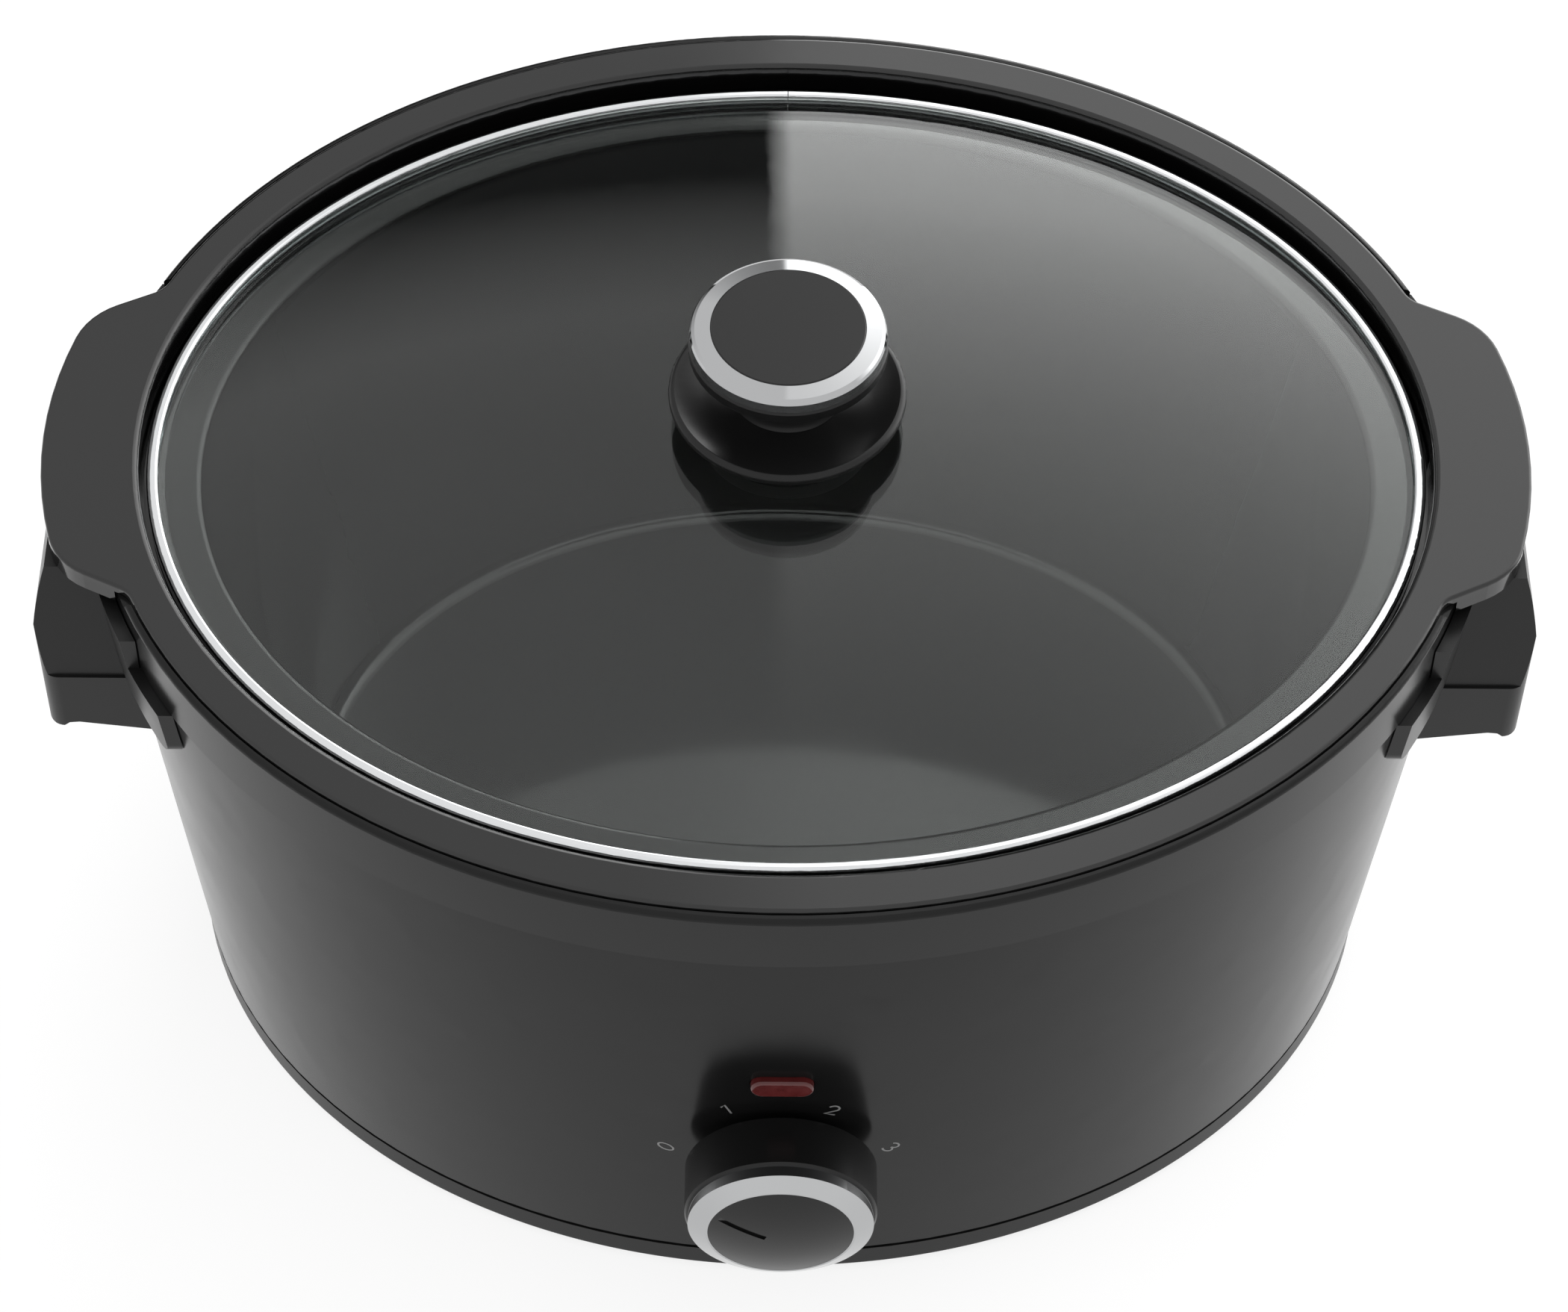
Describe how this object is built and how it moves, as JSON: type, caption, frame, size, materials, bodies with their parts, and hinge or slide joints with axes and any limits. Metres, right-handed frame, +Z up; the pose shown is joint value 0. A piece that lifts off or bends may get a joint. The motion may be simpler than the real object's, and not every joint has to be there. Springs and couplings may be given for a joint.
{
  "type": "slow cooker",
  "caption": "Oval countertop slow cooker: black tapered housing with heater and rotary control, lift-out stoneware crock, domed glass lid with knob.",
  "frame": {"origin": "centre of the bounding box on the surface it stands on", "axes": "+Z up, the control dial faces -Y, +X to the right seen from the front, along the longest side"},
  "size_m": [0.3892, 0.3188, 0.2292],
  "materials": {
    "housing_black": "satin-gloss black stoved paint",
    "collar_black": "satin-gloss black",
    "plastic_black": "smooth satin black phenolic",
    "knob_black": "fine satin black",
    "glaze_black": "smooth satin-gloss black glaze",
    "lid_glass": "clear toughened glass with a light grey tint",
    "rim_steel": "polished stainless steel",
    "chrome": "polished chrome",
    "lens_red": "translucent red lens",
    "zinc_steel": "zinc-plated steel",
    "liner_aluminium": "plain sheet",
    "heater_mica": "mica sheet",
    "glass_fibre": "white fibre blanket",
    "brass": "plain brass",
    "plastic_white": "natural white",
    "lamp_glass": "clear lamp glass",
    "ceramic_white": "unglazed white",
    "rubber_black": "matt",
    "wire_brown": "heat-resistant sleeve",
    "wire_blue": "heat-resistant sleeve"
  },
  "bodies": {
    "housing": {"outer_shell": "housing_black", "top_collar": "collar_black", "base_ring": "plastic_black", "bottom_plate": "zinc_steel", "ring_screws": "zinc_steel", "heating_liner": "liner_aluminium", "heater_band": "heater_mica", "clamp_screw": "zinc_steel", "clamp_nut": "zinc_steel", "insulation_wrap": "glass_fibre", "centre_bolt": "zinc_steel", "centre_nut": "zinc_steel", "liner_spacer": "zinc_steel", "thermostat": "brass", "thermal_fuse": "zinc_steel", "fuse_clip": "zinc_steel", "indicator_lens": "lens_red", "lamp_holder": "plastic_white", "indicator_lamp": "lamp_glass", "rotary_switch": "plastic_white", "switch_bracket": "zinc_steel", "switch_nut": "zinc_steel", "left_handle": "plastic_black", "right_handle": "plastic_black", "handle_screws": "zinc_steel", "cord_gland": "plastic_black", "terminal_block": "ceramic_white", "terminal_screws": "brass", "earth_screw": "brass", "wire_line": "wire_brown", "wire_neutral": "wire_blue", "wire_heater": "wire_brown", "wire_lamp": "wire_blue", "foot_front_left": "rubber_black", "foot_front_right": "rubber_black", "foot_rear_left": "rubber_black", "foot_rear_right": "rubber_black"},
    "crock": {"crock": "glaze_black"},
    "lid": {"lid_glass": "lid_glass", "lid_rim": "rim_steel", "knob_gasket": "rubber_black", "knob_spacer": "rubber_black", "knob_washer": "zinc_steel", "knob_screw": "zinc_steel", "knob_base": "knob_black", "knob_body": "knob_black", "knob_ring": "chrome", "knob_cap": "knob_black"},
    "dial": {"switch_shaft": "brass", "dial_barrel": "knob_black", "dial_ring": "chrome", "dial_cap": "knob_black"}
  },
  "joints": [
    {"name": "crock_lift", "type": "slide", "parent": "housing", "child": "crock", "axis": [0, 0, 1], "range_m": [0, 0.2]},
    {"name": "lid_lift", "type": "slide", "parent": "crock", "child": "lid", "axis": [0, 0, 1], "range_m": [0, 0.12]},
    {"name": "dial_turn", "type": "hinge", "parent": "housing", "child": "dial", "pos_m": [0, -0.1414, 0.0671], "axis": [0, 1, 0], "range_deg": [0, 136]}
  ]
}
